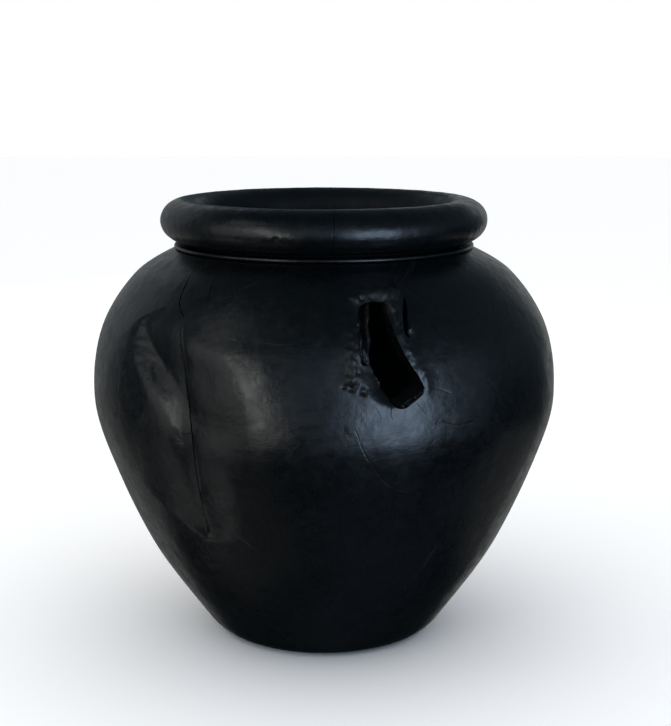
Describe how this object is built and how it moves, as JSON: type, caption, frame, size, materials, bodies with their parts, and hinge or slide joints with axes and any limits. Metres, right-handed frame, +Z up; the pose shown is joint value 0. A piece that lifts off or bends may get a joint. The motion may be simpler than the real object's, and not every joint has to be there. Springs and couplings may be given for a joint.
{
  "type": "pot",
  "caption": "Squat turned-wood pot, stained black and waxed, with a wide shoulder, a narrow foot, a thick rolled rim, an open knot hole and a natural fold down one side.",
  "frame": {"origin": "centre of the foot, on the surface the pot stands on", "axes": "+Z up along the turning axis, front faces -Y with the knot hole right of centre, +X to the right seen from the front"},
  "size_m": [0.3, 0.3, 0.2853],
  "materials": {
    "body_wood": "black stain, satin wax",
    "rim_wood": "black stain, satin wax",
    "bead_wood": "black stain, polished edge",
    "knot_wood": "rough, black stained",
    "plug_wood": "matt black stain"
  },
  "bodies": {
    "root": {"body_shell": "body_wood", "rim_ring": "rim_wood", "neck_bead": "bead_wood", "knot_core": "knot_wood", "floor_plug": "plug_wood"}
  },
  "joints": []
}
